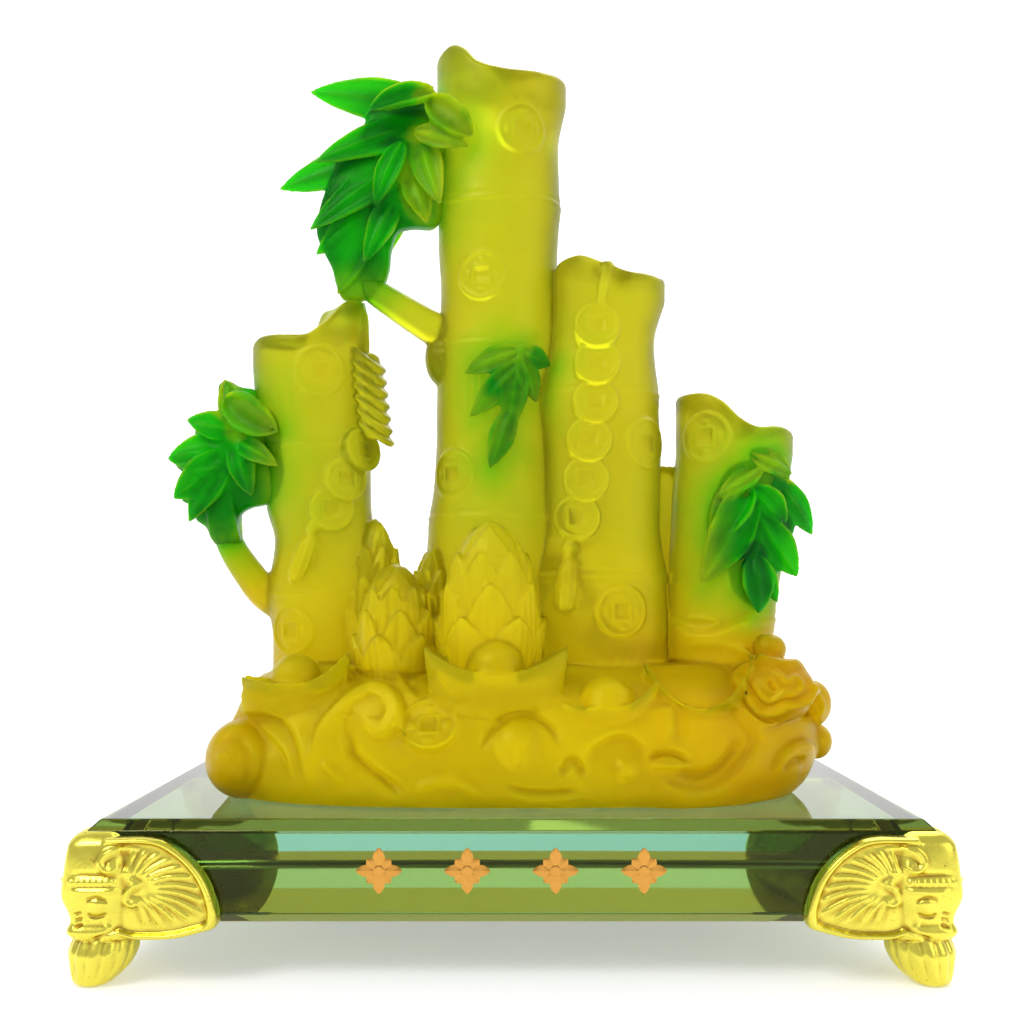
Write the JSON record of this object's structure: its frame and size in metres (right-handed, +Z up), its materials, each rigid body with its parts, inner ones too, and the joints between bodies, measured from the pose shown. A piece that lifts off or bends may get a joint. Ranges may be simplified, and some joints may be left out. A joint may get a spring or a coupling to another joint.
{
  "type": "cast resin bamboo ornament on glass plinth",
  "caption": "Translucent bamboo stalks with leaf sprays, coins, ingots and curling waves, cast as one ornament and standing on a bevelled glass slab with gilt elephant head feet.",
  "frame": {"origin": "on the floor, under the middle of the glass slab", "axes": "+Z up, front of the ornament towards -Y, +X to the right of a viewer at the front"},
  "size_m": [0.1736, 0.0916, 0.1987],
  "materials": {
    "amber_resin": "frosted translucent cast resin, yellow above and amber at the base",
    "green_resin": "satin translucent green cast resin, darker at the tips",
    "slab_glass": "polished, faint green glass with bevelled edges",
    "gilt_metal": "bright gold plating over cast relief, brown in the crevices"
  },
  "bodies": {
    "root": {"bamboo_casting": "amber_resin", "leaf_spray_top": "green_resin", "leaf_spray_left": "green_resin", "leaf_spray_front": "green_resin", "leaf_spray_right": "green_resin", "glass_slab": "slab_glass", "foot_front_left": "gilt_metal", "foot_front_right": "gilt_metal", "foot_back_left": "gilt_metal", "foot_back_right": "gilt_metal"}
  },
  "joints": []
}
